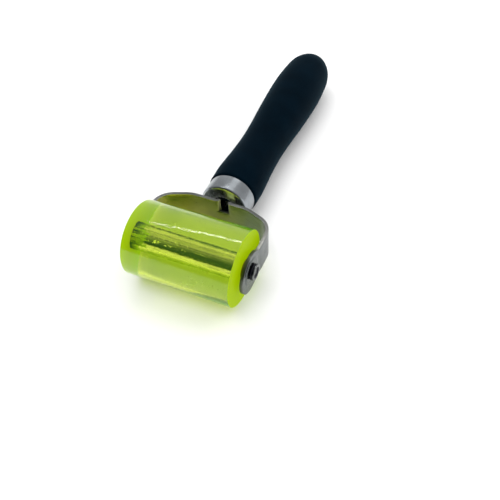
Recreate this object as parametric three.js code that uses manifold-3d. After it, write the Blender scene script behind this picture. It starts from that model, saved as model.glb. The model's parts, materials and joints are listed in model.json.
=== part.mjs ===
// A small hand brayer: a clear polyurethane roller turning on a steel axle, held
// in a stamped steel fork whose tang runs through a ferrule into a moulded handle.
//
// Millimetres, +Z up. +Y runs back along the handle, +X along the roller's axle.
// The tool stands on its roller and on the bulge of its handle at z = 0, and the
// origin is under the middle of its bounding box.

import * as THREE from "three";
import { mergeVertices } from "three/addons/utils/BufferGeometryUtils.js";
import Module from "manifold-3d";

// Roller: a two-inch cover cast round a steel tube.
const ROLLER_RADIUS = 17.5;
const ROLLER_LENGTH = 50.8;
const ROLLER_CHAMFER = 0.4;
const CORE_RADIUS = 4.0;
const CORE_BORE = 3.2;

// Flanged bushes pressed into the two ends of the core.
const BUSH_LENGTH = 8;
const BUSH_BORE = 2.58;
const BUSH_FLANGE_RADIUS = 4.8;
const BUSH_FLANGE = 0.9;

// Shouldered axle, with a threaded stud at each end. Outside each ear a nylon lock
// washer and a thin round nut go on the stud, whose end stays below the nut's face.
const AXLE_RADIUS = 2.5;
const STUD_RADIUS = 1.6;
const STUD_RECESS = 0.5;
const NUT_RADIUS = 3.85;
const NUT_THICKNESS = 0.75;
const NUT_CHAMFER = 0.2;
const LOCK_WASHER_RADIUS = 3.75;
const LOCK_WASHER_THICKNESS = 1.15;

// Steel thrust washer between each bush and its ear.
const WASHER_RADIUS = 5.2;
const WASHER_THICKNESS = 0.7;

// Fork: one strap of sheet steel, seen from above as a flat back, two shallow
// shoulders and two straight arms that end in round ears.
const SHEET = 1.5;
const FORK_HALF_WIDTH = 29.0;
const FORK_BACK = 29.9;
const SHOULDER_SLOPE = THREE.MathUtils.degToRad(21);
const SHOULDER_START = 14.25;
const BACK_BEND = 14;
const SHOULDER_BEND = 10.5;
const STRAP_TOP = 5.2;
const STRAP_WIDTH = 15;
const EAR_RADIUS = 9.9;
const EAR_DROP = 1.0;
const AXLE_HOLE = 1.85;

// Notch in the top edge of the fork's back, with its sides rolled backwards.
const NOTCH_CENTRE = 2.4;
const NOTCH_WIDTH = 3.9;
const NOTCH_DEPTH = 6.8;
const NOTCH_ROLL = 2.1;
const NOTCH_OVERLAP = 0.4;

// Tang: a round rod on the fork's back.
const TANG_RADIUS = 3.5;
const TANG_END = 88;
const TANG_TAPER = 2;

// Ferrule: a deep-drawn cup with a round hole for the tang.
const FERRULE_RADIUS = 12.0;
const FERRULE_WALL = 0.8;
const FERRULE_FRONT = 34.0;
const FERRULE_EDGE = 0.7;
const FERRULE_HOLE = 6.0;

// Handle: its axis runs level, a little below the axle.
const HANDLE_DROP = 3.25;
const HANDLE_FRONT = 43.4;
const HANDLE_FRONT_RADIUS = 12.35;
const HANDLE_EDGE = 0.6;
const HANDLE_TIP = 172.5;
const BUTT_CENTRE = 151;
const BUTT_RADIUS = 13.6;
const BUTT_START = 153;
// Distance behind the axle and radius where the grip swells, narrows and swells again.
const GRIP_POINTS = [
  [52.5, 12.75],
  [66, 12.0],
  [79, 11.55],
  [92, 11.9],
  [105, 12.8],
  [118, 13.6],
  [129, 14.1],
  [138, 14.25],
  [146, 14.0],
];

// Clearance between pieces that touch, and between those that turn.
const TOUCH_GAP = 0.05;
const FIT_GAP = 0.1;

const FINE_SEGMENTS = 72;
const HANDLE_SEGMENTS = 48;
const SMALL_SEGMENTS = 36;

const EAR_INNER = FORK_HALF_WIDTH - SHEET;
const LOCK_INNER = FORK_HALF_WIDTH + TOUCH_GAP;
const NUT_INNER = LOCK_INNER + LOCK_WASHER_THICKNESS + TOUCH_GAP;
const NUT_OUTER = NUT_INNER + NUT_THICKNESS;
const ROLLER_Y = ROLLER_RADIUS - (ROLLER_RADIUS + HANDLE_TIP) / 2;

const wasm = await Module();
wasm.setup();

// --- geometry helpers --------------------------------------------------------

function positionsOnly(geometry) {
  const bare = geometry.clone();
  bare.deleteAttribute("normal");
  bare.deleteAttribute("uv");
  return mergeVertices(bare, 1e-4);
}

function toSolid(geometry) {
  const merged = positionsOnly(geometry);
  return new wasm.Manifold(new wasm.Mesh({
    numProp: 3,
    vertProperties: new Float32Array(merged.attributes.position.array),
    triVerts: new Uint32Array(merged.index.array),
  }));
}

function toGeometry(solid) {
  const mesh = solid.getMesh();
  const geometry = new THREE.BufferGeometry();
  geometry.setAttribute("position", new THREE.BufferAttribute(mesh.vertProperties, 3));
  geometry.setIndex(new THREE.BufferAttribute(mesh.triVerts, 1));
  geometry.computeVertexNormals();
  return geometry;
}

// Revolves [along, radius] points about +Y. A ring's outline closes on itself.
function revolve(outline, segments) {
  const points = outline.map(([along, radius]) => new THREE.Vector2(radius, along));
  return new THREE.LatheGeometry(points, segments);
}

// The same, about +X.
function revolveX(outline, segments) {
  return revolve(outline, segments).rotateZ(-Math.PI / 2);
}

// A plain ring about +X from x0 to x1.
function ringX(inner, outer, x0, x1, segments) {
  return revolveX([[x0, inner], [x0, outer], [x1, outer], [x1, inner], [x0, inner]], segments);
}

// A solid cylinder about +X from -reach to +reach.
function discX(radius, reach) {
  return revolveX([[-reach, 0], [-reach, radius], [reach, radius], [reach, 0]], SMALL_SEGMENTS);
}

// Extrudes an outline drawn in X and Y upwards from z0 to z1.
function extrudeUp(shape, z0, z1) {
  const geometry = new THREE.ExtrudeGeometry(shape, {
    depth: z1 - z0, bevelEnabled: false, curveSegments: 12,
  });
  return geometry.translate(0, 0, z0);
}

function arcPoints(centreX, centreY, radius, from, to, steps) {
  const points = [];
  for (let i = 0; i <= steps; i += 1) {
    const angle = from + ((to - from) * i) / steps;
    points.push(new THREE.Vector2(
      centreX + radius * Math.cos(angle), centreY + radius * Math.sin(angle)));
  }
  return points;
}

// --- roller ------------------------------------------------------------------

function rollerCover() {
  const half = ROLLER_LENGTH / 2;
  const inner = CORE_RADIUS + TOUCH_GAP;
  return revolveX([
    [-half, inner],
    [-half, ROLLER_RADIUS - ROLLER_CHAMFER],
    [-half + ROLLER_CHAMFER, ROLLER_RADIUS],
    [half - ROLLER_CHAMFER, ROLLER_RADIUS],
    [half, ROLLER_RADIUS - ROLLER_CHAMFER],
    [half, inner],
    [-half, inner],
  ], FINE_SEGMENTS);
}

function rollerCore() {
  return ringX(CORE_BORE, CORE_RADIUS, -ROLLER_LENGTH / 2, ROLLER_LENGTH / 2, SMALL_SEGMENTS);
}

function bush() {
  const face = ROLLER_LENGTH / 2 + TOUCH_GAP;
  const sleeve = CORE_BORE - TOUCH_GAP;
  return revolveX([
    [face - BUSH_LENGTH, BUSH_BORE],
    [face - BUSH_LENGTH, sleeve],
    [face, sleeve],
    [face, BUSH_FLANGE_RADIUS],
    [face + BUSH_FLANGE, BUSH_FLANGE_RADIUS],
    [face + BUSH_FLANGE, BUSH_BORE],
    [face - BUSH_LENGTH, BUSH_BORE],
  ], SMALL_SEGMENTS);
}

// --- axle and its fastenings ---------------------------------------------------

function axle() {
  const shoulder = EAR_INNER - TOUCH_GAP;
  const end = NUT_OUTER - STUD_RECESS;
  return revolveX([
    [-end, 0],
    [-end, STUD_RADIUS],
    [-shoulder, STUD_RADIUS],
    [-shoulder, AXLE_RADIUS],
    [shoulder, AXLE_RADIUS],
    [shoulder, STUD_RADIUS],
    [end, STUD_RADIUS],
    [end, 0],
  ], SMALL_SEGMENTS);
}

function washer() {
  const outerFace = EAR_INNER - FIT_GAP;
  return ringX(AXLE_RADIUS + FIT_GAP, WASHER_RADIUS, outerFace - WASHER_THICKNESS, outerFace,
    SMALL_SEGMENTS);
}

function lockWasher() {
  return ringX(STUD_RADIUS + TOUCH_GAP, LOCK_WASHER_RADIUS, LOCK_INNER,
    LOCK_INNER + LOCK_WASHER_THICKNESS, SMALL_SEGMENTS);
}

function nut() {
  const bore = STUD_RADIUS + TOUCH_GAP;
  return revolveX([
    [NUT_INNER, bore],
    [NUT_INNER, NUT_RADIUS],
    [NUT_OUTER - NUT_CHAMFER, NUT_RADIUS],
    [NUT_OUTER, NUT_RADIUS - NUT_CHAMFER],
    [NUT_OUTER, bore],
    [NUT_INNER, bore],
  ], SMALL_SEGMENTS);
}

// --- fork ----------------------------------------------------------------------

// One face of the strap on the right-hand side, from the middle of the back to the
// end of the arm, at `inset` inside the outer face.
function strapFace(inset) {
  const back = FORK_BACK - inset;
  const side = FORK_HALF_WIDTH - inset;
  const slope = Math.tan(SHOULDER_SLOPE);
  const halfSlope = Math.tan(SHOULDER_SLOPE / 2);
  const backBend = BACK_BEND - inset;
  const bendX = SHOULDER_START - inset * halfSlope - backBend * halfSlope;
  const upright = Math.PI / 2;
  const points = [new THREE.Vector2(0, back)];
  points.push(...arcPoints(bendX, back - backBend, backBend, upright, upright - SHOULDER_SLOPE, 4));
  const cornerX = SHOULDER_START - inset * halfSlope;
  const cornerY = back - slope * (side - cornerX);
  const shoulderBend = SHOULDER_BEND - inset;
  const tangent = shoulderBend * Math.tan((upright - SHOULDER_SLOPE) / 2);
  points.push(...arcPoints(side - shoulderBend, cornerY - tangent, shoulderBend,
    upright - SHOULDER_SLOPE, 0, 8));
  points.push(new THREE.Vector2(side, -EAR_RADIUS - 1));
  return points;
}

function mirrored(points) {
  return points.map((p) => new THREE.Vector2(-p.x, p.y)).reverse();
}

function strapPlan() {
  const outer = strapFace(0);
  const inner = strapFace(SHEET);
  const back = [...mirrored(outer), ...outer.slice(1)];
  const front = [...mirrored(inner), ...inner.slice(1)];
  return new THREE.Shape([...back, ...front.reverse()]);
}

// The rolled side of the notch: the sheet turns from the back's plane to point
// backwards, `side` being +1 for the right edge of the notch and -1 for the left.
function notchRoll(side) {
  const edge = NOTCH_CENTRE + (side * NOTCH_WIDTH) / 2;
  const centreX = edge + side * NOTCH_ROLL;
  const centreY = FORK_BACK - SHEET + NOTCH_ROLL;
  const down = -Math.PI / 2;
  const towardsNotch = side > 0 ? -Math.PI : 0;
  const rootX = centreX + side * NOTCH_OVERLAP;
  const points = [
    new THREE.Vector2(rootX, FORK_BACK - SHEET),
    ...arcPoints(centreX, centreY, NOTCH_ROLL, down, towardsNotch, 6),
    ...arcPoints(centreX, centreY, NOTCH_ROLL - SHEET, towardsNotch, down, 4),
    new THREE.Vector2(rootX, FORK_BACK),
  ];
  return new THREE.Shape(points);
}

function fork() {
  const low = -EAR_DROP - EAR_RADIUS - 1;
  const high = EAR_RADIUS + 1;
  const ribbon = toSolid(extrudeUp(strapPlan(), low, high));
  const band = toSolid(new THREE.BoxGeometry(2 * FORK_HALF_WIDTH + 2, FORK_BACK + 1, STRAP_WIDTH)
    .translate(0, (FORK_BACK + 1) / 2, STRAP_TOP - STRAP_WIDTH / 2));
  const ears = toSolid(discX(EAR_RADIUS, FORK_HALF_WIDTH + 1)
    .translate(0, 0, -EAR_DROP));
  const axleHole = toSolid(discX(AXLE_HOLE, FORK_HALF_WIDTH + 2));
  const notchBottom = STRAP_TOP - NOTCH_DEPTH;
  const notchReach = NOTCH_WIDTH + 2 * NOTCH_ROLL;
  const notch = toSolid(new THREE.BoxGeometry(notchReach, 2 * SHEET + 1, NOTCH_DEPTH + 1)
    .translate(NOTCH_CENTRE, FORK_BACK - SHEET / 2, notchBottom + (NOTCH_DEPTH + 1) / 2));
  let solid = ribbon.intersect(band.add(ears)).subtract(axleHole).subtract(notch);
  for (const side of [-1, 1]) {
    solid = solid.add(toSolid(extrudeUp(notchRoll(side), notchBottom - NOTCH_OVERLAP, STRAP_TOP)));
  }
  return toGeometry(solid);
}

// --- tang, ferrule and handle ---------------------------------------------------

// A rod whose front end is cut away on top, where the notch's rolled sides stand.
function tang() {
  const front = FORK_BACK + TOUCH_GAP;
  const rod = toSolid(revolve([
    [front, 0],
    [front, TANG_RADIUS],
    [TANG_END - TANG_TAPER, TANG_RADIUS],
    [TANG_END, TANG_RADIUS - TANG_TAPER / 2],
    [TANG_END, 0],
  ], SMALL_SEGMENTS));
  const clearTo = FORK_BACK - SHEET + NOTCH_ROLL + FIT_GAP;
  const step = STRAP_TOP - NOTCH_DEPTH - NOTCH_OVERLAP + HANDLE_DROP - FIT_GAP;
  const cut = toSolid(new THREE.BoxGeometry(2 * TANG_RADIUS + 1, 2 * (clearTo - front), TANG_RADIUS)
    .translate(0, front, step + TANG_RADIUS / 2));
  return toGeometry(rod.subtract(cut));
}

function ferrule() {
  const inside = FERRULE_RADIUS - FERRULE_WALL;
  const edge = arcPoints(FERRULE_FRONT + FERRULE_EDGE, FERRULE_RADIUS - FERRULE_EDGE, FERRULE_EDGE,
    Math.PI, Math.PI / 2, 4).map((p) => [p.x, p.y]);
  const rear = HANDLE_FRONT - TOUCH_GAP;
  return revolve([
    [FERRULE_FRONT, FERRULE_HOLE],
    ...edge,
    [rear, FERRULE_RADIUS],
    [rear, inside],
    [FERRULE_FRONT + FERRULE_WALL, inside],
    [FERRULE_FRONT + FERRULE_WALL, FERRULE_HOLE],
    [FERRULE_FRONT, FERRULE_HOLE],
  ], HANDLE_SEGMENTS);
}

// The grip's outline from the ferrule to the tip of the butt.
function gripOutline() {
  const front = new THREE.Vector3(HANDLE_FRONT + HANDLE_EDGE, HANDLE_FRONT_RADIUS, 0);
  const reach = HANDLE_TIP - BUTT_CENTRE;
  const buttRadius = (along) =>
    BUTT_RADIUS * Math.sqrt(Math.max(0, 1 - ((along - BUTT_CENTRE) / reach) ** 2));
  const swells = GRIP_POINTS.map(([along, radius]) => new THREE.Vector3(along, radius, 0));
  const last = new THREE.Vector3(BUTT_START, buttRadius(BUTT_START), 0);
  const curve = new THREE.CatmullRomCurve3([front, ...swells, last], false, "centripetal");
  const outline = [];
  for (let i = 0; i <= 2 * swells.length + 2; i += 1) {
    const p = curve.getPoint(i / (2 * swells.length + 2));
    outline.push([p.x, p.y]);
  }
  const startAngle = Math.acos((BUTT_START - BUTT_CENTRE) / reach);
  const steps = 9;
  for (let i = 1; i < steps; i += 1) {
    const angle = startAngle * (1 - i / steps);
    outline.push([BUTT_CENTRE + reach * Math.cos(angle), BUTT_RADIUS * Math.sin(angle)]);
  }
  outline.push([HANDLE_TIP, 0]);
  return outline;
}

function handle() {
  const bore = TANG_RADIUS + FIT_GAP;
  const spigot = FERRULE_RADIUS - FERRULE_WALL - FIT_GAP;
  const spigotFront = FERRULE_FRONT + FERRULE_WALL + FIT_GAP;
  return revolve([
    [TANG_END + 1, 0],
    [TANG_END + 1, bore],
    [spigotFront, bore],
    [spigotFront, spigot],
    [HANDLE_FRONT, spigot],
    [HANDLE_FRONT, HANDLE_FRONT_RADIUS - HANDLE_EDGE],
    ...gripOutline(),
  ], HANDLE_SEGMENTS);
}

// --- assembly --------------------------------------------------------------------

const FINISH = {
  polyurethane: { color: 0xa4c832, roughness: 0.15, metalness: 0 },
  steel: { color: 0x9a9c9b, roughness: 0.3, metalness: 1 },
  bronze: { color: 0xb08a4e, roughness: 0.4, metalness: 1 },
  nickel: { color: 0xa9adb0, roughness: 0.2, metalness: 1 },
  nylon: { color: 0x15161a, roughness: 0.5, metalness: 0 },
  moulding: { color: 0x0a1a26, roughness: 0.55, metalness: 0 },
};

function piece(name, geometry, finish) {
  const mesh = new THREE.Mesh(geometry, new THREE.MeshStandardMaterial(FINISH[finish]));
  mesh.name = name;
  return mesh;
}

function turnedRound(mesh) {
  mesh.rotation.z = Math.PI;
  return mesh;
}

const tool = new THREE.Group();
tool.position.set(0, ROLLER_Y, ROLLER_RADIUS);

const roller = new THREE.Group();
roller.add(
  piece("roller_cover", rollerCover(), "polyurethane"),
  piece("roller_core", rollerCore(), "steel"),
  piece("bush_right", bush(), "bronze"),
  turnedRound(piece("bush_left", bush(), "bronze")),
);
tool.add(roller);

tool.add(
  piece("fork", fork(), "steel"),
  piece("axle", axle(), "steel"),
  piece("washer_right", washer(), "steel"),
  turnedRound(piece("washer_left", washer(), "steel")),
  piece("lock_washer_right", lockWasher(), "nylon"),
  turnedRound(piece("lock_washer_left", lockWasher(), "nylon")),
  piece("axle_nut_right", nut(), "steel"),
  turnedRound(piece("axle_nut_left", nut(), "steel")),
);

const stem = new THREE.Group();
stem.position.z = -HANDLE_DROP;
stem.add(
  piece("tang", tang(), "steel"),
  piece("ferrule", ferrule(), "nickel"),
  piece("handle", handle(), "moulding"),
);
tool.add(stem);

export default tool;
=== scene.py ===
"""A small hand brayer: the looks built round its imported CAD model. Metres, in the row frame.

+Z is up, +Y runs back along the handle and +X along the roller's axle. Every piece is
modelled here from the place and size of the CAD node that it stands for.
"""

import json
import math
import random

import bmesh
import bpy
from mathutils import Matrix, Vector

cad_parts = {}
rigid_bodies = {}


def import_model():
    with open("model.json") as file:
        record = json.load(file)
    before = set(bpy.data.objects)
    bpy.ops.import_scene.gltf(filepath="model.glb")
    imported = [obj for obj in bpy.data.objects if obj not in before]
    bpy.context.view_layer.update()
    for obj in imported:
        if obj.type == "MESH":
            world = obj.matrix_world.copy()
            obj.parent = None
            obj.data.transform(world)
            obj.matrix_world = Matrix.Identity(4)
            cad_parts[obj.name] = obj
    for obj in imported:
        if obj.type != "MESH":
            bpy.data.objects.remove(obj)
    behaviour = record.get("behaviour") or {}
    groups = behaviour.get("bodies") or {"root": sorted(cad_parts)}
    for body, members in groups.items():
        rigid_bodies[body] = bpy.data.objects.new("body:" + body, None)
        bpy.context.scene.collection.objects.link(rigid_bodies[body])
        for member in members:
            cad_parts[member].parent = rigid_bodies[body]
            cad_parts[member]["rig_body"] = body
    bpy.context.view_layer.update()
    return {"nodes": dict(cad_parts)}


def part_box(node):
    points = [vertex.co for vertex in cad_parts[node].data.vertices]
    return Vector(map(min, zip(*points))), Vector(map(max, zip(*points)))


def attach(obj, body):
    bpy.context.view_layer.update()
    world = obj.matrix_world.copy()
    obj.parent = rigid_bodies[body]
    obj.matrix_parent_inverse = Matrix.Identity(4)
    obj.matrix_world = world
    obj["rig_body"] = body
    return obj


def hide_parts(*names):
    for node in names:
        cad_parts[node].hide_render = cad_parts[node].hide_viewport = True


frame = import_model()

MM = 0.001
RIGHT, LEFT = 1, -1

# --- places and sizes, from the frame ------------------------------------------------


def middle(node):
    """The middle of a CAD node's box."""
    low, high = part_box(node)
    return (low + high) / 2


def size(node):
    """The three sides of a CAD node's box."""
    low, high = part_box(node)
    return high - low


AXLE = middle("roller_cover")
STEM = Vector((0, 0, middle("ferrule").z))
ROLLER_RADIUS = size("roller_cover").z / 2
ROLLER_HALF = size("roller_cover").x / 2
CORE_RADIUS = size("roller_core").z / 2
FORK_SIDE = size("fork").x / 2

# The CAD model's other sizes, which no box gives.
SHEET = 1.5 * MM
TOUCH_GAP = 0.05 * MM
FIT_GAP = 0.1 * MM
AXLE_BORE = 2.6 * MM
STUD_BORE = 1.65 * MM
FERRULE_WALL = 0.8 * MM
FERRULE_HOLE = 6.0 * MM

# --- mesh helpers --------------------------------------------------------------------


def new_object(name, bm, materials, crease_angle=32):
    """Turns a bmesh into a smooth-shaded object with sharp edges past the crease angle."""
    bmesh.ops.recalc_face_normals(bm, faces=bm.faces)
    mesh = bpy.data.meshes.new(name)
    bm.to_mesh(mesh)
    bm.free()
    mesh.shade_smooth()
    mesh.set_sharp_from_angle(angle=math.radians(crease_angle))
    for material in materials:
        mesh.materials.append(material)
    made = bpy.data.objects.new(name, mesh)
    bpy.context.scene.collection.objects.link(made)
    return made


def stands_for(made, node):
    """Puts a finished piece in its CAD node's place."""
    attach(made, frame["nodes"][node]["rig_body"])
    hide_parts(node)
    return made


def rounded(corners, steps):
    """Outline points from corners given as (along, radius, rounding), steps to a rounding."""
    points = []
    count = len(corners)
    for i, (along, radius, rounding) in enumerate(corners):
        here = Vector((along, radius))
        if rounding <= 0:
            points.append(here)
            continue
        before = Vector(corners[(i - 1) % count][:2]) - here
        after = Vector(corners[(i + 1) % count][:2]) - here
        half = before.angle(after) / 2
        towards = (before.normalized() + after.normalized()).normalized()
        centre = here + towards * rounding / math.sin(half)
        start = here + before.normalized() * rounding / math.tan(half) - centre
        end = here + after.normalized() * rounding / math.tan(half) - centre
        turn = start.angle_signed(end)
        for k in range(steps + 1):
            points.append(centre + Matrix.Rotation(-turn * k / steps, 2) @ start)
    return points


ON_AXIS = 1e-7


def lathe(name, outline, centre, axis, materials, segments=96, closed=True, wobble=None):
    """Revolves outline points (along, radius) about the axis through centre.

    A closed outline makes a ring, and an open one starts and ends on the axis.
    wobble(angle, along) gives a small change of radius.
    """
    along_axis = Vector((1, 0, 0)) if axis == "X" else Vector((0, 1, 0))
    across = Vector((0, 1, 0)) if axis == "X" else Vector((1, 0, 0))
    bm = bmesh.new()
    rings = []
    for along, radius in outline:
        if radius < ON_AXIS:
            rings.append([bm.verts.new(centre + along_axis * along)] * segments)
            continue
        ring = []
        for k in range(segments):
            angle = 2 * math.pi * k / segments
            reach = radius + (wobble(angle, along) if wobble else 0)
            spot = across * math.cos(angle) + Vector((0, 0, 1)) * math.sin(angle)
            ring.append(bm.verts.new(centre + along_axis * along + spot * reach))
        rings.append(ring)
    pairs = list(zip(rings, rings[1:]))
    if closed:
        pairs.append((rings[-1], rings[0]))
    for one, two in pairs:
        for k in range(segments):
            j = (k + 1) % segments
            corners = [one[k], one[j], two[j], two[k]]
            bm.faces.new(sorted(set(corners), key=corners.index))
    return new_object(name, bm, materials)


# --- material helpers ----------------------------------------------------------------


def new_material(name):
    made = bpy.data.materials.new(name)
    made.use_nodes = True
    made.node_tree.nodes.clear()
    return made, made.node_tree


def add(tree, kind, inputs=None, **settings):
    """Adds a node. An input's value is a socket to link from, or a plain value."""
    made = tree.nodes.new(kind)
    for key, value in settings.items():
        setattr(made, key, value)
    for key, value in (inputs or {}).items():
        if isinstance(value, bpy.types.NodeSocket):
            tree.links.new(value, made.inputs[key])
        else:
            made.inputs[key].default_value = value
    return made


def position(tree, scale=(1, 1, 1)):
    """The place on the piece, in millimetres, stretched by scale."""
    coordinates = add(tree, "ShaderNodeTexCoord").outputs["Object"]
    stretched = [s / MM for s in scale]
    mapping = add(tree, "ShaderNodeMapping", {"Vector": coordinates, "Scale": stretched})
    return mapping.outputs["Vector"]


def noise(tree, vector, scale, detail=4.0, roughness=0.55):
    """Cloudy noise, mostly between 0.3 and 0.7, with scale features to a millimetre."""
    inputs = {"Vector": vector, "Scale": scale, "Detail": detail, "Roughness": roughness}
    return add(tree, "ShaderNodeTexNoise", inputs).outputs["Fac"]


def ramp(tree, value, low, high, to_low=0.0, to_high=1.0):
    """Maps value from low..high to to_low..to_high, and clamps it."""
    inputs = {"Value": value, "From Min": low, "From Max": high,
              "To Min": to_low, "To Max": to_high}
    return add(tree, "ShaderNodeMapRange", inputs).outputs["Result"]


def mix_colour(tree, factor, one, two):
    inputs = {0: factor, 6: one, 7: two}
    return add(tree, "ShaderNodeMix", inputs, data_type="RGBA").outputs[2]


def shaded(colour, share):
    """The colour made darker or paler, and at most 1 in each part."""
    return tuple(min(1, part * share) for part in colour[:3]) + (1,)


def maths(tree, operation, one, two):
    return add(tree, "ShaderNodeMath", {0: one, 1: two}, operation=operation).outputs[0]


def bump(tree, height, strength, distance, normal=None):
    """Tilts the surface by a height of up to distance, in millimetres."""
    inputs = {"Height": height, "Strength": strength, "Distance": distance * MM}
    if normal is not None:
        inputs["Normal"] = normal
    return add(tree, "ShaderNodeBump", inputs).outputs["Normal"]


def finish_material(tree, surface, volume=None):
    sockets = {"Surface": surface}
    if volume is not None:
        sockets["Volume"] = volume
    add(tree, "ShaderNodeOutputMaterial", sockets)


# --- materials -----------------------------------------------------------------------


def plated_steel(name, colour, roughness, grain, grain_height=0.004, streaked=0.35, blur=0.22,
                 edge_paleness=1.2, painted_light_turn=None):
    """Bright-plated sheet or turned steel: drawn grain, cloudy plating, paler sharp edges.

    grain stretches the streaks, grain_height is their height in mm, streaked is how much they
    darken the metal and blur how softly. edge_paleness is how much paler the sharp edges are.
    painted_light_turn gives (colour, ways): the metal turns to that colour along every way
    (axis, start, end) at once. It paints light on the metal: the painted reflection inside the
    fork and the painted highlight on the arms' rims.
    """
    made, tree = new_material(name)
    place = position(tree)
    cloud = noise(tree, place, 0.11, detail=3)
    streaks = noise(tree, position(tree, grain), 1.0, detail=5, roughness=0.65)
    speck = noise(tree, place, 2.4, detail=2)
    edge = ramp(tree, add(tree, "ShaderNodeNewGeometry").outputs["Pointiness"], 0.52, 0.60)
    base = mix_colour(tree, ramp(tree, cloud, 0.35, 0.68), shaded(colour, 0.72), colour)
    # painted light: a colour standing in for reflected light, blended in along the given ways
    if painted_light_turn:
        other, ways = painted_light_turn
        parts = add(tree, "ShaderNodeSeparateXYZ", {"Vector": place}).outputs
        share = 1.0
        for axis, start, end in ways:
            turned = ramp(tree, parts[axis], start / MM, end / MM)
            share = maths(tree, "MULTIPLY", turned, share)
        base = mix_colour(tree, share, base, other)
    streak = ramp(tree, streaks, 0.5, 0.5 + blur, 0, streaked)
    base = mix_colour(tree, streak, base, shaded(colour, 0.4))
    # paler at sharp edges, found by pointiness
    base = mix_colour(tree, edge, base, shaded(colour, edge_paleness))
    rough = ramp(tree, streaks, 0.3, 0.75, roughness * 0.8, roughness * 1.3)
    rough = maths(tree, "ADD", rough, ramp(tree, speck, 0.6, 0.8, 0, 0.08))
    normal = bump(tree, streaks, 0.6, grain_height)
    normal = bump(tree, cloud, 0.5, 0.05, normal)
    surface = add(tree, "ShaderNodeBsdfPrincipled", {
        "Base Color": base, "Metallic": 1.0, "Roughness": rough, "Normal": normal,
    })
    finish_material(tree, surface.outputs["BSDF"])
    return made


POLYURETHANE_IOR = 1.5


def polyurethane_volume(tree):
    """Lime dye: it takes out the blue. Its small emission is a painted glow, lit by no lamp."""
    dye = add(tree, "ShaderNodeVolumeAbsorption",
              {"Color": (0.885, 0.91, 0.21, 1), "Density": 95.0})
    # painted glow: emission standing in for light, not lit by any lamp
    painted_glow = add(tree, "ShaderNodeEmission", {"Color": (0.30, 1.0, 0.16, 1), "Strength": 3.2})
    return add(tree, "ShaderNodeAddShader", {0: dye.outputs[0], 1: painted_glow.outputs[0]}).outputs[0]


def clear_for_lamps(tree, surface, tint):
    """Lets lamps through, tinted, where a ray only asks what lights a point."""
    through = add(tree, "ShaderNodeBsdfTransparent", {"Color": tint}).outputs[0]
    shadow = add(tree, "ShaderNodeLightPath").outputs["Is Shadow Ray"]
    return add(tree, "ShaderNodeMixShader", {0: shadow, 1: surface, 2: through}).outputs[0]


def clear_polyurethane():
    """The polished side of the cover: glassy, with the faint bands of a cast surface."""
    made, tree = new_material("polyurethane_clear")
    rings = noise(tree, position(tree, (0.05, 0.5, 0.5)), 1.0, detail=3)
    orange_peel = noise(tree, position(tree), 0.28, detail=2)
    waves = noise(tree, position(tree), 1.1, detail=1)
    polish = noise(tree, position(tree), 1.6, detail=2)
    normal = bump(tree, rings, 0.25, 0.02)
    normal = bump(tree, orange_peel, 0.25, 0.04, normal)
    normal = bump(tree, waves, 0.5, 0.06, normal)
    normal = bump(tree, polish, 0.5, 0.012, normal)
    rough = ramp(tree, noise(tree, position(tree), 0.35), 0.4, 0.75, 0.015, 0.07)
    surface = add(tree, "ShaderNodeBsdfPrincipled", {
        "Base Color": (0.94, 0.98, 0.72, 1), "Roughness": rough, "Normal": normal,
        "IOR": POLYURETHANE_IOR, "Transmission Weight": 1.0,
    })
    lit = clear_for_lamps(tree, surface.outputs["BSDF"], (0.93, 0.94, 0.56, 1))
    finish_material(tree, lit, polyurethane_volume(tree))
    return made


def matt_polyurethane():
    """The cut ends of the cover: milky, saturated lime with a fine tooth.

    Most of an end's brightness is emission, a painted glow. Seen from inside, near the hub and
    in the core's mirror, an end is painted dark: painted shade for the fastenings outside it.
    """
    made, tree = new_material("polyurethane_matt")
    cloud = noise(tree, position(tree), 0.16, detail=3)
    fine = noise(tree, position(tree, (0.2, 1, 1)), 1.8, detail=4)
    colour = mix_colour(tree, ramp(tree, cloud, 0.3, 0.7), (0.17, 0.235, 0.0, 1),
                        (0.21, 0.28, 0.001, 1))
    normal = bump(tree, fine, 0.5, 0.05)
    inside = add(tree, "ShaderNodeNewGeometry").outputs["Backfacing"]
    place = add(tree, "ShaderNodeTexCoord").outputs["Object"]
    offset = add(tree, "ShaderNodeVectorMath", {0: place, 1: -AXLE}, operation="ADD").outputs[0]
    flat = add(tree, "ShaderNodeVectorMath", {0: offset, 1: (0, 1, 1)}, operation="MULTIPLY")
    reach = add(tree, "ShaderNodeVectorMath", {0: flat.outputs[0]}, operation="LENGTH")
    # painted shade: seen from inside in the core's mirror, the end is darkened near the hub
    near_hub = ramp(tree, reach.outputs["Value"], 6.0 * MM, 14.0 * MM, 1.0, 0.0)
    mirrored = add(tree, "ShaderNodeLightPath").outputs["Is Reflection Ray"]
    painted_hub_shade = maths(tree, "MULTIPLY", maths(tree, "MULTIPLY", inside, mirrored), near_hub)
    colour = mix_colour(tree, painted_hub_shade, colour, (0.02, 0.09, 0.006, 1))
    passing = mix_colour(tree, painted_hub_shade, (0.72, 0.92, 0.02, 1), (0.03, 0.12, 0.01, 1))
    # painted glow: emission, a little stronger from inside and nearly gone in the painted hub
    # shade
    painted_glow = maths(tree, "MULTIPLY", ramp(tree, inside, 0, 1, 0.84, 1.0),
                 ramp(tree, painted_hub_shade, 0, 1, 1.0, 0.05))
    surface = add(tree, "ShaderNodeBsdfPrincipled", {
        "Base Color": colour, "Roughness": 0.55, "Normal": normal, "IOR": POLYURETHANE_IOR,
        "Specular IOR Level": 0.2, "Emission Color": (0.53, 0.69, 0.0, 1),
        "Emission Strength": painted_glow,
    })
    through = add(tree, "ShaderNodeBsdfTranslucent", {"Color": passing, "Normal": normal})
    shares = {0: 0.45, 1: surface.outputs["BSDF"], 2: through.outputs[0]}
    milky = add(tree, "ShaderNodeMixShader", shares).outputs[0]
    lit = clear_for_lamps(tree, milky, (0.48, 0.60, 0.03, 1))
    finish_material(tree, lit, polyurethane_volume(tree))
    return made


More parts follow.
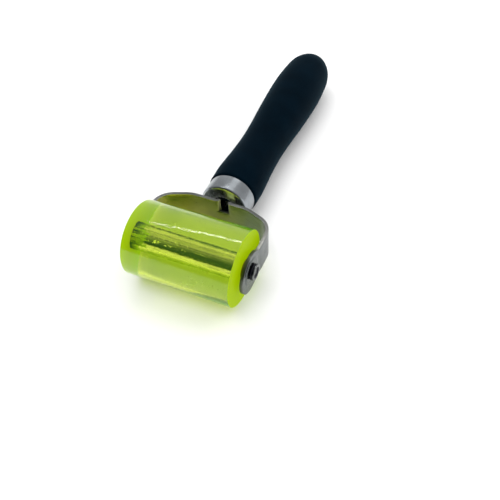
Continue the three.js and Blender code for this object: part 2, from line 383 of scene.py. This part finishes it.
def bubble():
    """Air in the polyurethane, with a faint painted glow from emission."""
    made, tree = new_material("bubble")
    shade = noise(tree, position(tree), 3.0)
    surface = add(tree, "ShaderNodeBsdfPrincipled", {
        "Base Color": (0.98, 1.0, 0.75, 1), "Roughness": ramp(tree, shade, 0.3, 0.7, 0.0, 0.2),
        "IOR": 1 / POLYURETHANE_IOR, "Transmission Weight": 0.7,
        # painted glow: a faint emission, lit by no lamp
        "Emission Color": (0.75, 0.90, 0.25, 1), "Emission Strength": 0.08,
    })
    finish_material(tree, clear_for_lamps(tree, surface.outputs["BSDF"], (1, 1, 1, 1)))
    return made


def moulding():
    """Blue-black handle moulding: fine spark-eroded grain, faint scuffs and a satin skin."""
    made, tree = new_material("moulding")
    grain = noise(tree, position(tree), 3.2, detail=5, roughness=0.7)
    cloud = noise(tree, position(tree), 0.07, detail=4)
    scuff = noise(tree, position(tree, (1, 0.12, 1)), 0.9, detail=6, roughness=0.7)
    base = mix_colour(tree, ramp(tree, cloud, 0.35, 0.7), (0.0001, 0.0030, 0.0065, 1),
                      (0.0003, 0.0048, 0.0100, 1))
    scuffed = ramp(tree, scuff, 0.66, 0.82, 0, 0.5)
    base = mix_colour(tree, scuffed, base, (0.002, 0.010, 0.017, 1))
    rough = ramp(tree, grain, 0.25, 0.75, 0.56, 0.72)
    rough = maths(tree, "SUBTRACT", rough, ramp(tree, scuff, 0.6, 0.8, 0, 0.08))
    normal = bump(tree, grain, 0.35, 0.035)
    surface = add(tree, "ShaderNodeBsdfPrincipled", {
        "Base Color": base, "Roughness": rough, "Normal": normal, "IOR": 1.35,
        "Specular IOR Level": 0.03, "Sheen Weight": 0.06, "Sheen Roughness": 0.35,
        "Sheen Tint": (0.2, 0.7, 1.0, 1),
    })
    finish_material(tree, surface.outputs["BSDF"])
    return made


def nylon():
    made, tree = new_material("nylon")
    grain = noise(tree, position(tree), 4.0, detail=4)
    cloud = noise(tree, position(tree), 0.5, detail=2)
    base = mix_colour(tree, cloud, (0.003, 0.0035, 0.006, 1), (0.010, 0.011, 0.018, 1))
    surface = add(tree, "ShaderNodeBsdfPrincipled", {
        "Base Color": base, "Roughness": ramp(tree, grain, 0.3, 0.7, 0.35, 0.55),
        "Normal": bump(tree, grain, 0.4, 0.02), "IOR": 1.53, "Specular IOR Level": 0.2,
    })
    finish_material(tree, surface.outputs["BSDF"])
    return made


def floor_card():
    made, tree = new_material("floor_card")
    tooth = noise(tree, position(tree), 0.8, detail=5)
    base = mix_colour(tree, tooth, (0.90, 0.90, 0.90, 1), (0.93, 0.93, 0.93, 1))
    surface = add(tree, "ShaderNodeBsdfPrincipled", {
        "Base Color": base, "Roughness": 0.9, "Normal": bump(tree, tooth, 0.1, 0.05),
        "Specular IOR Level": 0.1,
    })
    finish_material(tree, surface.outputs["BSDF"])
    return made


CLEAR = clear_polyurethane()
MATT = matt_polyurethane()
FORK_STEEL = plated_steel("fork_plating", (0.108, 0.125, 0.121, 1), 0.27, (0.12, 0.12, 2.2),
                          streaked=0.2)
# Painted reflection: the inside's olive-lime is the roller mirrored in the plating, turning to a
# darker grey-green towards +X.
FORK_INSIDE_PAINTED_REFLECTION = plated_steel("fork_inside_painted_reflection", (0.46, 0.43, 0.12, 1), 0.24, (0.12, 0.12, 2.2),
                           streaked=0.2,
                           painted_light_turn=((0.18, 0.22, 0.14, 1), [("X", -18 * MM, 16 * MM)]))
# The sheared rim's own dull grey, with a painted highlight: paler on the arms' rims, most from 8
# to 10 mm behind the axle, fading out by 4 and 27 mm.
FORK_SHEARED_EDGE_AND_HIGHLIGHT = plated_steel("fork_sheared_edge_painted_highlight", (0.125, 0.13, 0.125, 1), 0.36, (1.2, 1.2, 0.5),
                            painted_light_turn=((0.36, 0.36, 0.34, 1),
                                     [("Y", AXLE.y + 27 * MM, AXLE.y + 10 * MM),
                                      ("Y", AXLE.y + 4 * MM, AXLE.y + 8 * MM)]))
# Painted highlight: the eased arris is much paler than the plating beside it.
FORK_ARRIS_HIGHLIGHT = plated_steel("fork_arris_painted_highlight", (0.46, 0.46, 0.43, 1), 0.25, (1.2, 1.2, 0.5))
AXLE_STEEL = plated_steel("axle_plating", (0.17, 0.18, 0.178, 1), 0.28, (0.3, 1.5, 1.5))
CORE_STEEL = plated_steel("core_steel", (0.85, 0.86, 0.98, 1), 0.05, (0.02, 1.1, 1.1),
                          grain_height=0.045, streaked=1.0, blur=0.05)
NICKEL = plated_steel("ferrule_nickel", (0.33, 0.355, 0.375, 1), 0.22, (0.5, 0.05, 0.5),
                      grain_height=0.001, streaked=0.12, edge_paleness=1.8)
DULL_NICKEL = plated_steel("ferrule_end", (0.80, 0.82, 0.78, 1), 0.24, (0.2, 0.2, 0.2),
                           grain_height=0.001, streaked=0.05)
BRONZE = plated_steel("bush_bronze", (0.28, 0.20, 0.11, 1), 0.40, (0.8, 1.2, 1.2))
NYLON = nylon()
MOULDING = moulding()

# --- roller --------------------------------------------------------------------------


def cover():
    """The cast cover. It's bonded to the core, so its bore lies just inside the core's skin."""
    edge = 0.35 * MM
    bore = CORE_RADIUS - 0.02 * MM
    outline = rounded([
        (-ROLLER_HALF, bore, 0),
        (-ROLLER_HALF, ROLLER_RADIUS, edge),
        (ROLLER_HALF, ROLLER_RADIUS, edge),
        (ROLLER_HALF, bore, 0),
    ], steps=5)
    made = lathe("roller_cover_cast", outline, AXLE, "X", [CLEAR, MATT], 192)
    for face in made.data.polygons:
        if abs(face.normal.x) > 0.7:
            face.material_index = 1
    return stands_for(made, "roller_cover")


def core():
    """Drawn steel tube, with the faint lengthwise ridges that drawing leaves."""
    ridge = 0.020 * MM
    waves = [(7, 0.4), (13, 2.1), (23, 4.0), (37, 1.3), (53, 0.7)]

    def drawn(angle, along):
        height = sum(math.sin(count * angle + start) for count, start in waves)
        return -ridge + ridge * height / len(waves)

    bore = CORE_RADIUS - 0.8 * MM
    chamfer = 0.15 * MM
    outline = rounded([
        (-ROLLER_HALF, bore, chamfer),
        (-ROLLER_HALF, CORE_RADIUS, chamfer),
        (ROLLER_HALF, CORE_RADIUS, chamfer),
        (ROLLER_HALF, bore, chamfer),
    ], steps=2)
    made = lathe("roller_core_tube", outline, AXLE, "X", [CORE_STEEL], 320, wobble=drawn)
    return stands_for(made, "roller_core")


def bubbles():
    """Small bubbles left in the casting, strung along it, and one larger bubble.

    They ride with the cover and stand for no node of their own.
    """
    draw = random.Random(11)
    strings = 22
    wall = ROLLER_RADIUS - CORE_RADIUS - 2 * MM
    spots = [(-13.3 * MM, CORE_RADIUS + 2.2 * MM, math.radians(128), 0.6 * MM)]
    for _ in range(strings):
        middle_reach = CORE_RADIUS + 0.8 * MM + draw.random() ** 1.4 * wall
        middle_angle = draw.uniform(0, 2 * math.pi)
        along = draw.uniform(-0.9, 0.5) * ROLLER_HALF
        for _ in range(draw.randint(4, 14)):
            along += draw.uniform(0.6, 2.6) * MM
            if along < 0.93 * ROLLER_HALF:
                reach = middle_reach + draw.uniform(-0.3, 0.3) * MM
                angle = middle_angle + draw.uniform(-0.05, 0.05)
                spots.append((along, reach, angle, draw.uniform(0.09, 0.27) * MM))
    bm = bmesh.new()
    for along, reach, angle, radius in spots:
        spot = AXLE + Vector((along, reach * math.cos(angle), reach * math.sin(angle)))
        place = Matrix.Translation(spot)
        bmesh.ops.create_icosphere(bm, subdivisions=2, radius=radius, matrix=place)
    made = new_object("roller_cover_bubbles", bm, [bubble()], crease_angle=80)
    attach(made, frame["nodes"]["roller_cover"]["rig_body"])
    return made


def bush(side):
    """Flanged bronze bush, pressed into one end of the core."""
    node = "bush_right" if side == RIGHT else "bush_left"
    low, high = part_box(node)
    outer = high.x if side == RIGHT else -low.x
    inner = low.x if side == RIGHT else -high.x
    flange_radius = size(node).z / 2
    flange, sleeve, bore = 0.9 * MM, 3.15 * MM, 2.58 * MM
    ease = 0.15 * MM
    outline = rounded([
        (side * inner, bore, ease),
        (side * inner, sleeve, ease),
        (side * (outer - flange), sleeve, 0),
        (side * (outer - flange), flange_radius, ease),
        (side * outer, flange_radius, 0.25 * MM),
        (side * outer, bore, ease),
    ], steps=3)
    made = lathe(f"{node}_turned", outline, AXLE, "X", [BRONZE])
    return stands_for(made, node)


# --- axle and its fastenings ---------------------------------------------------------


def axle():
    """Shouldered axle. Each stud has a few turns of thread and a centre hole in its end."""
    end = size("axle").x / 2
    shoulder = FORK_SIDE - SHEET - TOUCH_GAP
    body = size("axle").z / 2
    stud, root, pitch = 1.6 * MM, 1.38 * MM, 0.5 * MM
    centre_hole, hole_depth = 1.25 * MM, 0.9 * MM
    lead, chamfer = 0.2 * MM, 0.15 * MM
    half = [(end - hole_depth, 0.0), (end, centre_hole), (end, stud - lead)]
    turn = end - lead
    while turn - pitch > shoulder:
        half += [(turn, stud), (turn - pitch / 2, root)]
        turn -= pitch
    half += [(shoulder, stud), (shoulder, body - chamfer), (shoulder - chamfer, body)]
    outline = [(-x, r) for x, r in half] + [(x, r) for x, r in reversed(half)]
    made = lathe("axle_turned", outline, AXLE, "X", [AXLE_STEEL], closed=False)
    return stands_for(made, "axle")


def ring(node, bore, rounding, materials, slot, suffix, dish=0.0, rim=0.0):
    """A ring on the axle. dish sinks the outer face inside a raised rim of that width.

    The bottom of the dish is of the second material.
    """
    low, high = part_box(node)
    side = RIGHT if high.x > 0 else LEFT
    outer = max(abs(low.x), abs(high.x))
    inner = min(abs(low.x), abs(high.x))
    radius = size(node).z / 2
    corners = [(side * inner, bore, rounding / 2), (side * inner, radius, rounding)]
    corners += [(side * outer, radius, rounding)]
    if dish:
        corners += [(side * outer, radius - rim, dish * 0.6)]
        corners += [(side * (outer - dish), radius - rim - dish, dish * 0.6)]
        corners += [(side * (outer - dish), bore, rounding / 2)]
    else:
        corners += [(side * outer, bore, rounding / 2)]
    made = lathe(f"{node}_{suffix}", rounded(corners, steps=3), AXLE, "X", materials)
    if dish:
        skin = 0.01 * MM
        for face in made.data.polygons:
            away = face.center - AXLE
            if math.hypot(away.y, away.z) < radius - rim and abs(away.x) > inner + skin:
                face.material_index = 1
    return stands_for(made, node)


# --- fork ----------------------------------------------------------------------------

FORK_EDGE = 0.28 * MM
SHOULDER_SLOPE = math.radians(21)
SHOULDER_START = 14.25 * MM
BACK_BEND = 14 * MM
SHOULDER_BEND = 10.5 * MM
EAR_RADIUS = 9.9 * MM
EAR_DROP = 1.0 * MM
AXLE_HOLE = 1.85 * MM
EAR_JOINT = 10.5 * MM
EAR_RING = 6.7 * MM
EAR_STEP = 0.26 * MM
EAR_STEP_WIDTH = 0.5 * MM
EAR_FADE = 2.5 * MM
NOTCH_CENTRE = 2.4 * MM
NOTCH_WIDTH = 3.9 * MM
NOTCH_DEPTH = 6.8 * MM
NOTCH_ROLL = 2.1 * MM
NOTCH_TROUGH = 0.45 * MM
NOTCH_LIFT = 0.25 * MM
STRAP_TOP = 5.2 * MM
STRAP_BOTTOM = -9.8 * MM
NOTCH_BOTTOM = STRAP_TOP - NOTCH_DEPTH
FORK_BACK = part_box("fork")[1].y - AXLE.y - (NOTCH_ROLL - SHEET)


def evenly(start, end, count):
    """The ends and the even steps between them: count + 1 values."""
    return [start + (end - start) * k / count for k in range(count + 1)]


def half_strap():
    """The strap's outer face seen from above: from the middle of the back to the right arm."""
    slope_half = math.tan(SHOULDER_SLOPE / 2)
    bend_x = SHOULDER_START - BACK_BEND * slope_half
    corner_y = FORK_BACK - math.tan(SHOULDER_SLOPE) * (FORK_SIDE - SHOULDER_START)
    tangent = SHOULDER_BEND * math.tan((math.pi / 2 - SHOULDER_SLOPE) / 2)
    points = []
    for angle in evenly(0, SHOULDER_SLOPE, 6):
        points.append((bend_x + BACK_BEND * math.sin(angle),
                       FORK_BACK - BACK_BEND * (1 - math.cos(angle))))
    for angle in evenly(SHOULDER_SLOPE, math.pi / 2, 16):
        points.append((FORK_SIDE - SHOULDER_BEND * (1 - math.sin(angle)),
                       corner_y - tangent + SHOULDER_BEND * math.cos(angle)))
    last = points[-1][1]
    points += [(FORK_SIDE, y) for y in evenly(last, EAR_JOINT, 3)[1:]]
    return points


def ear_grid(rows):
    """Rings of (y, z) from the axle hole to the ear's outline, which meets the arm at rows."""
    reach_top = math.sqrt(EAR_RADIUS**2 - (STRAP_TOP + EAR_DROP) ** 2)
    reach_low = math.sqrt(EAR_RADIUS**2 - (STRAP_BOTTOM + EAR_DROP) ** 2)
    from_top = math.atan2(STRAP_TOP + EAR_DROP, reach_top)
    to_low = 2 * math.pi + math.atan2(STRAP_BOTTOM + EAR_DROP, reach_low)
    outline = [(EAR_JOINT, z) for z in rows]
    outline += [(y, STRAP_TOP) for y in evenly(EAR_JOINT, reach_top, 3)[1:-1]]
    outline += [(EAR_RADIUS * math.cos(a), EAR_RADIUS * math.sin(a) - EAR_DROP)
                for a in evenly(from_top, to_low, 72)]
    outline += [(y, STRAP_BOTTOM) for y in evenly(reach_low, EAR_JOINT, 5)[1:-1]]
    radii = [AXLE_HOLE, 3.4 * MM, 5.2 * MM]
    radii += [EAR_RING + near * MM for near in (-0.55, -0.25, 0, 0.3, 0.7)]
    rings = []
    for radius in radii:
        rings.append([Vector(p).normalized() * radius for p in outline])
    last = rings[-1]
    for share in (0.35, 0.7, 1.0):
        rings.append([spot.lerp(Vector(p), share) for spot, p in zip(last, outline)])
    return rings


def between(value, low, high):
    """How far value has come from low to high: 0 to 1."""
    return min(1, max(0, (value - low) / (high - low)))


def pressed_in(y, z):
    """How far the ear's rim lies below the boss round the axle hole, fading out at the arm."""
    start = EAR_RING - 0.4 * MM
    step = EAR_STEP * between(math.hypot(y, z), start, start + EAR_STEP_WIDTH)
    return step * between(-y, -EAR_JOINT, EAR_FADE - EAR_JOINT)


def fork():
    """One strap of sheet: back, shoulders, arms and ears, with the notch's sides rolled back."""
    bm = bmesh.new()
    low_rows = evenly(STRAP_BOTTOM, NOTCH_BOTTOM, 9)
    high_rows = evenly(NOTCH_BOTTOM, STRAP_TOP, 7)
    rows = low_rows + high_rows[1:]

    def at(x, y, z):
        return bm.verts.new(AXLE + Vector((x, y, z)))

    def skin(columns):
        for one, two in zip(columns, columns[1:]):
            for k in range(min(len(one), len(two)) - 1):
                bm.faces.new([one[k], two[k], two[k + 1], one[k + 1]])

    roots = [NOTCH_CENTRE + side * (NOTCH_WIDTH / 2 + NOTCH_ROLL) for side in (LEFT, RIGHT)]
    arm = half_strap()
    arms = {}
    for side in (LEFT, RIGHT):
        root = roots[0] if side == LEFT else roots[1]
        plan = [(x, FORK_BACK) for x in evenly(root, side * arm[0][0], 4)[:-1]]
        plan += [(side * x, y) for x, y in arm]
        arms[side] = [[at(x, y, z) for z in rows] for x, y in plan]
        skin(arms[side])

    # Below the notch the sheet is pulled back into a shallow trough between the roots.
    under = [arms[LEFT][0][:len(low_rows)]]
    for x in evenly(roots[0], roots[1], 12)[1:-1]:
        across = 1 - abs(2 * (x - roots[0]) / (roots[1] - roots[0]) - 1)
        dip = NOTCH_TROUGH * min(1, 2.2 * across)
        column = []
        for z in low_rows:
            rise = max(0, (z - STRAP_BOTTOM) / (NOTCH_BOTTOM - STRAP_BOTTOM) - 0.35) / 0.65
            column.append(at(x, FORK_BACK + dip * rise**1.6, z))
        under.append(column)
    under.append(arms[RIGHT][0][:len(low_rows)])
    skin(under)

    # Beside the notch it turns from the back's plane to point backwards.
    for side in (LEFT, RIGHT):
        root = roots[0] if side == LEFT else roots[1]
        centre_y = FORK_BACK - SHEET + NOTCH_ROLL
        outer = NOTCH_ROLL - SHEET
        columns = [arms[side][0][len(low_rows) - 1:]]
        for angle in evenly(0, math.pi / 2, 6)[1:]:
            x = root - side * outer * math.sin(angle)
            y = centre_y - outer * math.cos(angle)
            column = [at(x, y, z) for z in high_rows]
            column[0].co.z += NOTCH_LIFT
            columns.append(column)
        skin(columns)

    for side in (LEFT, RIGHT):
        rings = ear_grid(rows)
        grid = []
        for ring_points in rings[:-1]:
            ring_verts = []
            for y, z in ring_points:
                ring_verts.append(at(side * (FORK_SIDE - pressed_in(y, z)), y, z))
            grid.append(ring_verts)
        edge = list(arms[side][-1])
        for y, z in rings[-1][len(rows):]:
            edge.append(at(side * (FORK_SIDE - pressed_in(y, z)), y, z))
        grid.append(edge)
        for one, two in zip(grid, grid[1:]):
            for k in range(len(one)):
                j = (k + 1) % len(one)
                bm.faces.new([one[k], one[j], two[j], two[k]])

    # Solidify and Bevel pick from these by place: outside, inside with a painted reflection,
    # sheared rim with a painted highlight, eased arris as a painted highlight.
    made = new_object("fork_stamped", bm, [FORK_STEEL, FORK_INSIDE_PAINTED_REFLECTION, FORK_SHEARED_EDGE_AND_HIGHLIGHT, FORK_ARRIS_HIGHLIGHT],
                      crease_angle=40)
    right_side = [f.normal.x for f in made.data.polygons if f.center.x > FORK_SIDE * 0.99]
    solid = made.modifiers.new("sheet", "SOLIDIFY")
    solid.thickness = SHEET
    solid.offset = -1 if sum(right_side) > 0 else 1
    solid.use_even_offset = True
    solid.material_offset = 1
    solid.material_offset_rim = 2
    ease = made.modifiers.new("edges", "BEVEL")
    ease.width = FORK_EDGE
    ease.segments = 3
    ease.material = 3
    ease.limit_method = "ANGLE"
    ease.angle_limit = math.radians(50)
    return stands_for(made, "fork")


# --- tang, ferrule and handle --------------------------------------------------------


def tang():
    """Round rod with a reduced, rounded rear end."""
    low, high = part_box("tang")
    radius = size("tang").x / 2
    outline = [(low.y, 0.0)] + rounded([
        (low.y, radius, 0.2 * MM),
        (high.y - 2 * MM, radius, 0.5 * MM),
        (high.y, radius - 1 * MM, 0.4 * MM),
    ], steps=3) + [(high.y, 0.0)]
    made = lathe("tang_rod", outline, STEM, "Y", [AXLE_STEEL], 64, closed=False)
    return stands_for(made, "tang")


def ferrule():
    """Drawn cup: rounded front edge, flat mirror-like end with a punched hole, eased rear rim."""
    low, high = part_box("ferrule")
    radius = size("ferrule").x / 2
    inside = radius - FERRULE_WALL
    outline = rounded([
        (low.y, FERRULE_HOLE, 0.12 * MM),
        (low.y, radius, 1.3 * MM),
        (high.y, radius, 0.28 * MM),
        (high.y, inside, 0.12 * MM),
        (low.y + FERRULE_WALL, inside, 0.3 * MM),
        (low.y + FERRULE_WALL, FERRULE_HOLE, 0.12 * MM),
    ], steps=6)
    made = lathe("ferrule_cup", outline, STEM, "Y", [NICKEL, DULL_NICKEL], 160)
    for face in made.data.polygons:
        if face.normal.y < -0.9:
            face.material_index = 1
    return stands_for(made, "ferrule")


def smooth_curve(p, t):
    """A Catmull-Rom curve between the second and third of four points."""
    return 0.5 * (2 * p[1] + (p[2] - p[0]) * t
                  + (2 * p[0] - 5 * p[1] + 4 * p[2] - p[3]) * t**2
                  + (3 * p[1] - p[0] - 3 * p[2] + p[3]) * t**3)


def grip_outline():
    """The CAD handle's outer outline, made finer by a smooth curve through its rings.

    Rings no wider than the tang belong to the bore, except at the tip of the butt.
    """
    reach = {}
    for vertex in frame["nodes"]["handle"].data.vertices:
        along = round(vertex.co.y, 5)
        radius = math.hypot(vertex.co.x, vertex.co.z - STEM.z)
        reach[along] = max(reach.get(along, 0), radius)
    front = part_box("ferrule")[1].y
    tip_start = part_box("handle")[1].y - 10 * MM
    rings = [(along, reach[along]) for along in sorted(reach) if along > front + 0.5 * MM
             and (reach[along] > size("tang").x or along > tip_start)]
    points = []
    last = len(rings) - 1
    for i in range(last):
        near = [Vector(rings[min(max(i + k, 0), last)]) for k in (-1, 0, 1, 2)]
        points += [smooth_curve(near, t) for t in (0, 1 / 3, 2 / 3)]
    points.append(Vector((rings[last][0], 0.0)))
    return points


def handle():
    """One moulding: a spigot inside the ferrule, a blind bore for the tang, and the grip.

    The CAD's coarse rounding at the front of the grip is drawn again here, finer.
    """
    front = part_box("ferrule")[1].y + TOUCH_GAP
    front_rounding = 3.2 * MM
    spigot = size("ferrule").x / 2 - FERRULE_WALL - FIT_GAP
    spigot_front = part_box("handle")[0].y
    bore = size("tang").x / 2 + FIT_GAP
    bore_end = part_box("tang")[1].y + 1 * MM
    grip = [p for p in grip_outline() if p.x > front + front_rounding]
    edge = rounded([
        (front, spigot, 0),
        (front, grip[0].y - 0.05 * MM, 1.5 * MM),
        (grip[0].x, grip[0].y, 0),
    ], steps=8)
    outline = [(bore_end, 0.0), (bore_end, bore), (spigot_front, bore), (spigot_front, spigot)]
    outline += [tuple(p) for p in edge[:-1]] + [tuple(p) for p in grip]
    made = lathe("handle_moulding", outline, STEM, "Y", [MOULDING], 128, closed=False)
    return stands_for(made, "handle")


# --- studio --------------------------------------------------------------------------

CAMERA_FROM_AXLE = Vector((88.859, -132.737, 182.472)) * MM
CAMERA_AZIMUTH = math.radians(-24.503)
CAMERA_ELEVATION = math.radians(49.174)
CAMERA_ROLL = math.radians(-2.228)
CAMERA_LENS = 39.394
SENSOR_WIDTH = 36
FLOOR_HALF = 1.3


def facing(right, up, back, spot):
    """The place of a camera or a lamp, which looks the way opposite to back."""
    turn = Matrix((right, up, back)).transposed()
    return Matrix.Translation(spot) @ turn.to_4x4()


def camera():
    made = bpy.data.objects.new("camera", bpy.data.cameras.new("camera"))
    bpy.context.scene.collection.objects.link(made)
    made.data.lens = CAMERA_LENS
    made.data.sensor_width = SENSOR_WIDTH
    made.data.clip_start = 0.01
    level = math.cos(CAMERA_ELEVATION)
    forward = Vector((math.sin(CAMERA_AZIMUTH) * level, math.cos(CAMERA_AZIMUTH) * level,
                      -math.sin(CAMERA_ELEVATION)))
    right = forward.cross(Vector((0, 0, 1))).normalized()
    up = right.cross(forward)
    turn = Matrix.Rotation(CAMERA_ROLL, 3, -forward)
    right, up = turn @ right, turn @ up
    made.matrix_world = facing(right, up, -forward, AXLE + CAMERA_FROM_AXLE)
    bpy.context.scene.camera = made


def softbox(name, place, width, length, along, power):
    """A lamp at a place from the axle, facing it, whose length runs the way of along."""
    data = bpy.data.lights.new(name, "AREA")
    data.shape = "RECTANGLE"
    data.size = width
    data.size_y = length
    data.energy = power
    made = bpy.data.objects.new(name, data)
    bpy.context.scene.collection.objects.link(made)
    away = Vector(place).normalized()
    across = Vector(along).cross(away).normalized()
    up = away.cross(across)
    made.matrix_world = facing(across, up, away, AXLE + Vector(place))
    return made


SOFT_LAMPS = (
    ("above", (-0.16, -0.32, 1.15), 0.6, 3.8),
    ("ceiling", (0.05, 0.05, 1.6), 3.0, 15.0),
    ("left", (-0.95, 0.1, 0.8), 1.0, 3.2),
    ("right", (0.7, 0.75, 0.7), 1.0, 3.4),
    ("front", (0.45, -1.0, 0.7), 1.0, 3.0),
)


def studio():
    """A room bright behind the tool and dark in front of it, with soft lamps all round.

    Only the tube and the window show in polished things: the one draws the thin highlight along
    the roller, and the other the soft band along the ferrule.
    """
    world = bpy.data.worlds.new("room")
    bpy.context.scene.world = world
    world.use_nodes = True
    tree = world.node_tree
    tree.nodes.clear()
    direction = add(tree, "ShaderNodeTexCoord").outputs["Generated"]
    heading = add(tree, "ShaderNodeSeparateXYZ", {"Vector": direction})
    backwards = heading.outputs["Y"]
    lit = ramp(tree, backwards, -0.70, 0.45, 0.03, 0.72)
    lit = maths(tree, "ADD", lit, ramp(tree, heading.outputs["X"], 0.84, 0.96, 0.0, 1.0))
    lit = maths(tree, "ADD", lit, ramp(tree, backwards, 0.6, 1.0, 0.0, 0.15))
    seen = add(tree, "ShaderNodeLightPath").outputs["Is Camera Ray"]
    strength = add(tree, "ShaderNodeMix", {0: seen, 2: lit, 3: 1.0}, data_type="FLOAT").outputs[0]
    sky = add(tree, "ShaderNodeBackground", {"Color": (1.0, 1.0, 1.0, 1), "Strength": strength})
    add(tree, "ShaderNodeOutputWorld", {"Surface": sky.outputs[0]})
    for name, place, width, power in SOFT_LAMPS:
        lamp = softbox(name, place, width, width, (0, 1, 0.1), power)
        lamp.visible_glossy = False
        lamp.visible_transmission = False
    tube = softbox("tube", (-0.39, 0.462, 1.0), 0.045, 0.66, (0.68, 0.73, 0), 1.35)
    tube.visible_transmission = False
    window = softbox("window", (0.11, 0.80, 0.96), 0.50, 0.9, (0, 0.6, -0.6), 1.25)
    window.visible_transmission = False


def floor():
    bm = bmesh.new()
    bmesh.ops.create_grid(bm, x_segments=8, y_segments=8, size=FLOOR_HALF)
    made = new_object("floor", bm, [floor_card()])


camera()
studio()
floor()
cover()
core()
bubbles()
for side in (RIGHT, LEFT):
    hand = "right" if side == RIGHT else "left"
    bush(side)
    ring(f"washer_{hand}", AXLE_BORE, 0.15 * MM, [AXLE_STEEL], "axle_steel", "stamped")
    ring(f"lock_washer_{hand}", STUD_BORE, 0.5 * MM, [NYLON], "nylon", "moulded")
    ring(f"axle_nut_{hand}", STUD_BORE, 0.18 * MM, [AXLE_STEEL, NYLON], "axle_steel", "turned",
         dish=0.45 * MM, rim=1.15 * MM)
axle()
fork()
tang()
ferrule()
handle()

bpy.context.scene.view_settings.view_transform = "Standard"
